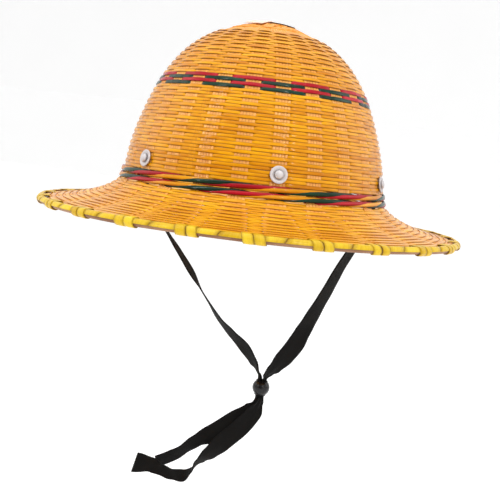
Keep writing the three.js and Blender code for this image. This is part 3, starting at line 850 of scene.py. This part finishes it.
# Stakes: each strip is five flat splits. It climbs from the rim, crosses the cap and goes down again.
stake = {
    "startRadius": 29,
    "crossRadius": 31.5,
    "waveEnd": 31,
    "blendFrom": 25,
    "blendOver": 10,
    "rimRoom": 0.4,
    "capRoom": 4,
    "capLift": 0.15,
    "splits": 5,
    "halfThick": 0.36,
    "seam": 1.03,
    "jog": 0.0036,
    "jogMost": 0.2,
    "liftSpread": 0.04,
    "axis": 7.5,
    "swing": 0.55,
    "pile": 2.1,
    "pileReach": 36,
}
startRun = runAtRadius(stake["startRadius"])
# The strips of a quarter, counted in stake pitches from its axis
fan = np.arange(6) - 2.5


def pileHeight(radius):
    # the crossed strips stand up a little at the top
    return stake["pile"] * np.clip(1 - (radius / stake["pileReach"]) ** 2, 0, 1) ** 1.5


def stakeStrip(quarter, index):
    # one strip from the rim at one side over the cap to the rim at the other
    turn = stakePitch * fan[index]
    lateral = stake["startRadius"] * math.sin(math.radians(turn))
    sideRuns = np.concatenate([
        np.linspace(edgeRun + stake["rimRoom"], lowerBandRun, 16, endpoint=False),
        np.linspace(lowerBandRun, upperBandRun, 9, endpoint=False),
        np.linspace(upperBandRun, startRun - stake["capRoom"], 16),
    ])
    reach = math.sqrt(stake["crossRadius"] ** 2 - lateral**2)
    x = np.linspace(reach, -reach, 61)
    capRadii = np.hypot(x, lateral)
    straight = np.degrees(np.arctan2(lateral, x))
    blend = np.clip((capRadii - stake["blendFrom"]) / stake["blendOver"], 0, 1) ** 2
    capAngles = straight * (1 - blend) + np.where(x >= 0, turn, 180 - turn) * blend
    # over and under the strips of the other quarter in turn
    crossings = stake["startRadius"] * np.sin(np.radians(stakePitch * fan))
    signs = [(-1.0) ** (index + m + quarter) for m in range(len(fan))]
    stops = np.concatenate([[-stake["waveEnd"]], crossings, [stake["waveEnd"]]])
    waves = np.sin(np.interp(x, stops, [0, *signs, 0]) * np.pi / 2)
    middle = np.full(len(sideRuns), hat["wall"] / 2)
    capDepth = hat["wall"] / 2 - stake["capLift"] - stake["swing"] * waves - pileHeight(capRadii)
    capRuns = np.interp(-capRadii, -meridian[:, 0], runs)
    angles = np.concatenate([np.full(len(sideRuns), turn), capAngles, np.full(len(sideRuns), 180 - turn)])
    angles = angles + stake["axis"] + 90 * quarter
    allRuns = np.concatenate([sideRuns, capRuns, sideRuns[::-1]])
    return angles, allRuns, np.concatenate([middle, capDepth, middle])


def stakeSplits(quarter, index):
    angles, allRuns, depths = stakeStrip(quarter, index)
    spine = place(angles, allRuns, depths)
    out = outwardAt(angles, allRuns)
    ahead = unit(np.gradient(spine, axis=0))
    out = unit(out - (out * ahead).sum(-1, keepdims=True) * ahead)
    across = np.cross(out, ahead)
    splits = stake["splits"]
    half = stakeHalfWidth(allRuns) / splits
    parts = []
    for s in range(splits):
        offset = (2 * s + 1 - splits) * half
        jog = seeds.normal(0, stake["jog"], len(spine)).cumsum()
        jog = np.clip(jog, -stake["jogMost"], stake["jogMost"])
        lift = seeds.normal(0, stake["liftSpread"])
        line = spine + across * (offset + jog)[:, None] + out * lift
        parts.append(strand(line, out, half * stake["seam"], stake["halfThick"], seeds.uniform()))
    return parts


stakeParts = []
for quarter in (0, 1):
    for index in range(len(fan)):
        stakeParts += stakeSplits(quarter, index)
addPiece("stakes", stakeParts, woods["paleSplit"], ("crown_cap",))
print("stakes set")

# Two loose splits over the cap
topSplits = {
    "pale": {"angle": 0, "width": 15, "from": -24, "to": 25, "aside": -5.5, "hump": 0.75, "humpReach": 16},
    "brown": {"angle": 105, "width": 10, "from": -1, "to": 19, "aside": 0, "hump": 0.0, "humpReach": 1},
    "halfThick": 0.32,
    "lift": 0.25,
    "rings": 40,
    "splits": 3,
    "seam": 0.97,
    "endTaper": 0.06,
}


def topSplit(look, seed):
    a = math.radians(look["angle"])
    ahead = np.array([math.sin(a), -math.cos(a), 0])
    across = np.array([math.cos(a), math.sin(a), 0])
    rings, splits = topSplits["rings"], topSplits["splits"]
    reach = np.linspace(look["from"], look["to"], rings)
    hump = look["hump"] * np.clip(1 - (reach / look["humpReach"]) ** 2, 0, 1)
    height = topSplits["lift"] + hump + pileHeight(np.abs(reach))
    r, z = wallPoint(wholeRun - np.abs(reach), -height)
    spine = ahead * (np.sign(reach) * r)[:, None] + np.array([0, 0, 1.0]) * z[:, None]
    out = np.tile([0.0, 0.0, 1.0], (rings, 1))
    half = look["width"] / splits / 2
    width = half * topSplits["seam"] * (1 - topSplits["endTaper"] * np.abs(np.linspace(-1, 1, rings)) ** 6)
    parts = []
    for s in range(splits):
        line = spine + across * ((2 * s + 1 - splits) * half + look["aside"])
        parts.append(strand(line, out, width, topSplits["halfThick"], seed + s * 0.13))
    return parts


paleSplits = topSplit(topSplits["pale"], 0.2)
brownSplits = topSplit(topSplits["brown"], 0.6)
addPiece("topSplitPale", paleSplits, woods["topPale"], ("apex_strip_pale",))
addPiece("topSplitBrown", brownSplits, woods["brownSplit"], ("apex_strip_brown",))

# Rim: hoop, the strip over it, and pairs of wraps
rim = {
    "wraps": 24,
    "wrapWidth": 7.2,
    "wrapGap": 0.5,
    "wrapThick": 0.72,
    "wrapRise": 0.75,
    "wrapLow": -112,
    "wrapHigh": 88,
    "lean": 1.4,
    "reach": 6.2,
    "middleReach": 4.6,
    "clear": 0.55,
    "endUnder": 1.9,
    "endAbove": 1.3,
    "stripThick": 0.62,
    "stripRise": 0.55,
    "stripLow": -2,
    "stripHigh": 112,
    "stripRoom": 0.9,
    "slitGap": 0.45,
    "slitSlant": 1.54,
    "sheetRound": 0.35,
}


def aboutHoop(radius, degrees):
    a = np.radians(degrees)
    return hoopOut + radius * np.cos(a), hoopUp + radius * np.sin(a)


def hoopParts():
    count = 300
    angle = np.arange(count) * 360 / count
    a = np.radians(angle)
    sway = 0.12 * np.sin(a * 7) + 0.1 * np.sin(a * 11 + 1)
    spine = np.stack([hoopOut * np.sin(a), -hoopOut * np.cos(a), hoopUp + sway], axis=-1)
    out = np.stack([np.sin(a), -np.cos(a), 0 * a], axis=-1)
    return [strand(spine, out, hat["hoopRadius"], hat["hoopRadius"], 0.4, ringSection(16), closed=True)]


# A sheet that follows a line in the (out, up) plane across a span of angles; both borders may slant
def bentSheet(line, angleStart, angleEnd, thickness, seed, columns=5):
    count = len(line)
    ahead = unit(np.gradient(line, axis=0))
    normal = np.stack([ahead[:, 1], -ahead[:, 0]], axis=-1)
    share = np.linspace(0, 1, columns)
    start = np.broadcast_to(angleStart, count)[:, None]
    end = np.broadcast_to(angleEnd, count)[:, None]
    rounded = 1 - np.abs(2 * share - 1) ** 4 * rim["sheetRound"]
    faces = []
    for sign in (1, -1):
        order = share[::sign]
        angle = np.radians(start * (1 - order) + end * order)
        offset = sign * thickness / 2 * rounded[::sign]
        r = line[:, 0:1] + normal[:, 0:1] * offset
        z = line[:, 1:2] + normal[:, 1:2] * offset
        faces.append(np.stack([r * np.sin(angle), -r * np.cos(angle), z + 0 * angle], axis=-1))
    sides = 2 * columns
    panels = np.array([(k, sides - 1 - k, sides - 2 - k, k + 1) for k in range(columns - 1)])
    side = np.concatenate([2 * share - 1, (2 * share - 1)[::-1]])
    return tube(np.concatenate(faces, axis=1), lengthAlong(line), side, seed, panels)


def wrapLine():
    # from inside the wall under the brim, round the hoop, and back into the wall above
    wall, clear = hat["wall"], rim["clear"]
    legRun = runAtRadius(hoopOut - rim["reach"])
    midRun = runAtRadius(hoopOut - rim["middleReach"])
    radius = hat["hoopRadius"] + rim["wrapRise"]
    under = [(legRun, rim["endUnder"]), (legRun + 0.2, wall + 0.1), (midRun, wall + clear)]
    above = [(midRun, -clear), (legRun + 0.2, -0.2), (legRun, rim["endAbove"])]
    line = [wallPoint(run, depth) for run, depth in under]
    line += [aboutHoop(radius, d) for d in np.linspace(rim["wrapLow"], rim["wrapHigh"], 15)]
    line += [wallPoint(run, depth) for run, depth in above]
    line = np.array([(float(r), float(z)) for r, z in line])
    t = np.linspace(0, len(line) - 1, 60)
    smooth = np.stack([np.interp(t, np.arange(len(line)), column) for column in line.T], axis=-1)
    for _ in range(3):
        smooth[1:-1] = (smooth[:-2] + 2 * smooth[1:-1] + smooth[2:]) / 4
    return smooth


def lashingParts():
    parts = []
    pitch = 360 / rim["wraps"]
    perMm = math.degrees(1 / hat["brimRadius"])
    wrapPath = wrapLine()
    spot = np.linspace(0, 1, len(wrapPath))
    bends = np.linspace(rim["stripLow"], rim["stripHigh"], 22)
    stripPath = np.array([aboutHoop(hat["hoopRadius"] + rim["stripRise"], d) for d in bends])
    stripSpot = np.linspace(-1, 1, len(stripPath))
    room = rim["stripRoom"] * rim["wrapWidth"] * perMm
    gap = rim["slitGap"] * perMm
    for i in range(rim["wraps"]):
        middle = (i + 0.5) * pitch + seeds.normal(0, 0.12)
        for j in (0, 1):
            width = rim["wrapWidth"] * seeds.uniform(0.9, 1.08) * perMm
            centre = middle + (j - 0.5) * (rim["wrapWidth"] + rim["wrapGap"]) * perMm
            lean = (rim["lean"] + seeds.normal(0, 0.25)) * perMm * (0.5 - spot) * 2
            start, end = centre - width / 2 + lean, centre + width / 2 + lean
            parts.append(bentSheet(wrapPath, start, end, rim["wrapThick"], seeds.uniform()))
        # the strip to the next pair, with a slanting slit midway
        start, end = middle + room, (i + 1.5) * pitch - room
        slit = (start + end) / 2 + seeds.normal(0, 0.4) + rim["slitSlant"] * perMm * stripSpot
        parts.append(bentSheet(stripPath, start, slit - gap / 2, rim["stripThick"], seeds.uniform()))
        parts.append(bentSheet(stripPath, slit + gap / 2, end, rim["stripThick"], seeds.uniform()))
    return parts


addPiece("rimHoop", hoopParts(), woods["hoopCane"], ("rim_hoop",))
addPiece("rimLashing", lashingParts(), woods["lashing"], ("rim_lashing",))
print("rim lashed")

# Rivets with washers, and the strap's tabs inside
rivet = {
    "count": 6,
    "start": 30,
    "level": 13,
    "washerBase": 0.35,
    "washerRadius": 6.4,
    "washerThick": 1.0,
    "washerEdge": 0.32,
    "play": 0.3,
    "dishOuter": 4.0,
    "dishInner": 3.6,
    "dish": 0.5,
    "headRadius": 3.05,
    "headHeight": 1.9,
    "footHeight": 1.2,
    "shank": 1.6,
    "tabThick": 1.3,
    "tabBelow": 7.4,
    "tabAbove": 9,
}


def rivetFrame(angle):
    run = runAtLevel(rivet["level"])
    out = Vector(outwardAt(angle, run))
    a = math.radians(angle)
    ar, az = (float(np.interp(run, runs, column)) for column in along.T)
    up = Vector((ar * math.sin(a), -ar * math.cos(a), az))
    x = up.cross(out)
    spot = place(angle, run, 0.0)
    return Matrix.Translation(Vector(spot)) @ Matrix((x, up, out)).transposed().to_4x4()


def zincFinish():
    finish = Finish("zincPlate")
    place = finish.node("ShaderNodeTexCoord", out="Object")
    grain = finish.noise(place, 900.0, 4.0, 0.65)
    cloud = finish.noise(place, 180.0, 3.0, 0.6)
    return finish.close(
        Base_Color=finish.mix(cloud, linear(186, 182, 184), linear(214, 209, 209)),
        Metallic=0.45,
        Roughness=0.4 + grain * 0.2,
        Normal=finish.bump(grain, 0.03 * mm),
    )


def washerProfile(base, top):
    bore, radius, edge = rivet["shank"] + rivet["play"], rivet["washerRadius"], rivet["washerEdge"]
    dished = top - rivet["dish"]
    profile = [(bore, base), (radius - edge, base)] + arc(radius - edge, base + edge, edge, -90, 0, 4)
    profile += arc(radius - edge, top - edge, edge, 0, 90, 4)
    profile += [(rivet["dishOuter"], top - 0.04), (rivet["dishInner"], dished)]
    return profile + [(bore, dished), (bore, base)]


def rivetProfile(top, inner):
    radius, shank = rivet["headRadius"], rivet["shank"]
    half, foot = rivet["headHeight"] / 2, rivet["footHeight"]
    profile = [(0.001, inner - foot), (radius - 0.5, inner - foot), (radius, inner - 0.8), (radius, inner)]
    profile += [(shank, inner), (shank, top), (radius - 0.15, top)]
    profile += [(radius, top + 0.15), (radius, top + half)]
    for t in np.linspace(0.15, math.pi / 2 - 0.02, 9):
        profile.append((radius * math.cos(t), top + half + half * math.sin(t)))
    return profile


def tabStrand(seed):
    count = 20
    up = np.linspace(-rivet["tabBelow"], rivet["tabAbove"], count)
    outwards = 0.12 * np.sin(np.linspace(0, 7, count)) - (hat["wall"] + 0.8)
    line = np.stack([np.zeros(count), up, outwards], axis=-1)
    out = np.tile([0.0, 0.0, 1.0], (count, 1))
    return strand(line, out, strap["width"] / 2, 0.48, seed)


zinc = zincFinish()
washerTop = rivet["washerBase"] + rivet["washerThick"]
for i in range(rivet["count"]):
    number = str(i + 1)
    where = rivetFrame(rivet["start"] + i * 360 / rivet["count"])
    tabSide = {1: "Right", 4: "Left"}.get(i)
    inner = -(hat["wall"] + hat["gap"] + (rivet["tabThick"] if tabSide else 0))
    washer = moved(lathe(washerProfile(rivet["washerBase"], washerTop), 56), where)
    addPiece("washer" + number, [washer], zinc, ("washer_" + number,))
    head = moved(lathe(rivetProfile(washerTop, inner), 40), where)
    addPiece("rivet" + number, [head], zinc, ("rivet_" + number,))
    if tabSide:
        tab = moved(tabStrand(0.5 + i * 0.07), where)
        addPiece("strapTab" + tabSide, [tab], tapeMaterial, ("strap_tab_" + tabSide.lower(),))
print("rivets set")

# Studio: a pale floor in a white surround that is dark in a cone behind the camera, two narrow strips for the
# lacquer's highlights, a soft lamp overhead and one at each side. front is the cone's light, and the two
# values after it are the directions along Y between which it fades.
studio = {
    "floorLevel": -0.42,
    "backdropAway": 5.0,
    "floorReach": 14,
    "surround": 0.84,
    "front": 0.05,
    "frontFull": -1.0,
    "frontGone": -0.72,
    "away": 1.4,
    "lamps": [
        {"name": "stripRight", "azimuth": 47, "elevation": 28, "wide": 0.06, "high": 0.9, "power": 4.0},
        {"name": "stripLeft", "azimuth": -26, "elevation": 28, "wide": 0.06, "high": 0.9, "power": 4.0},
        {"name": "overhead", "azimuth": 10, "elevation": 78, "wide": 1.6, "high": 1.6, "power": 10.0},
        {"name": "sideLeft", "azimuth": -78, "elevation": 22, "wide": 0.9, "high": 0.9, "power": 3.0},
        {"name": "sideRight", "azimuth": 112, "elevation": 22, "wide": 0.9, "high": 0.9, "power": 3.0},
    ],
}


def stageFinish():
    finish = Finish("paleFloor")
    place = finish.node("ShaderNodeTexCoord", out="Object")
    grain = finish.noise(place, 3.0, 2.0, 0.5)
    return finish.close(
        Base_Color=finish.mix(grain, (0.9, 0.9, 0.9, 1), (0.93, 0.93, 0.93, 1)),
        Roughness=0.9,
        Emission_Color=(1, 1, 1, 1),
        Emission_Strength=0.24,
    )


def addStage():
    size = studio["floorReach"]
    mesh = bpy.data.meshes.new("floor")
    z = studio["floorLevel"]
    far = studio["backdropAway"]
    profile = [(-size, z), (far - 2, z), (far - 1.2, z + 0.2), (far - 0.5, z + 0.7), (far - 0.1, z + 1.6)]
    profile += [(far, z + 2.6), (far, size)]
    corners = [(side * size, y, height) for y, height in profile for side in (-1, 1)]
    panels = [(2 * i, 2 * i + 1, 2 * i + 3, 2 * i + 2) for i in range(len(profile) - 1)]
    mesh.from_pydata(corners, [], panels)
    mesh.materials.append(stageFinish())
    floor = bpy.data.objects.new("floor", mesh)
    bpy.context.collection.objects.link(floor)


def addLamp(lamp):
    data = bpy.data.lights.new(lamp["name"], "AREA")
    data.shape = "RECTANGLE"
    data.size, data.size_y = lamp["wide"], lamp["high"]
    data.energy = lamp["power"]
    a, e = math.radians(lamp["azimuth"]), math.radians(lamp["elevation"])
    away = Vector((math.sin(a) * math.cos(e), -math.cos(a) * math.cos(e), math.sin(e)))
    piece = bpy.data.objects.new(lamp["name"], data)
    piece.location = away * studio["away"] + Vector((0, 0, 0.05))
    piece.rotation_mode = "QUATERNION"
    piece.rotation_quaternion = (-away).to_track_quat("-Z", "Y")
    bpy.context.collection.objects.link(piece)


def addSurround():
    world = bpy.data.worlds.new("surround")
    world.use_nodes = True
    tree = world.node_tree
    background = tree.nodes["Background"]
    background.inputs["Color"].default_value = (1, 1, 1, 1)
    around = tree.nodes.new("ShaderNodeTexCoord")
    axes = tree.nodes.new("ShaderNodeSeparateXYZ")
    fall = tree.nodes.new("ShaderNodeMapRange")
    fall.interpolation_type = "SMOOTHSTEP"
    fall.inputs["From Min"].default_value = studio["frontFull"]
    fall.inputs["From Max"].default_value = studio["frontGone"]
    fall.inputs["To Min"].default_value = studio["front"]
    fall.inputs["To Max"].default_value = studio["surround"]
    tree.links.new(around.outputs["Generated"], axes.inputs[0])
    tree.links.new(axes.outputs["Y"], fall.inputs["Value"])
    tree.links.new(fall.outputs["Result"], background.inputs["Strength"])
    bpy.context.scene.world = world


addStage()
addSurround()
for lamp in studio["lamps"]:
    addLamp(lamp)
bpy.context.scene.view_settings.view_transform = "Standard"
print("studio lit")

bpy.context.view_layer.update()
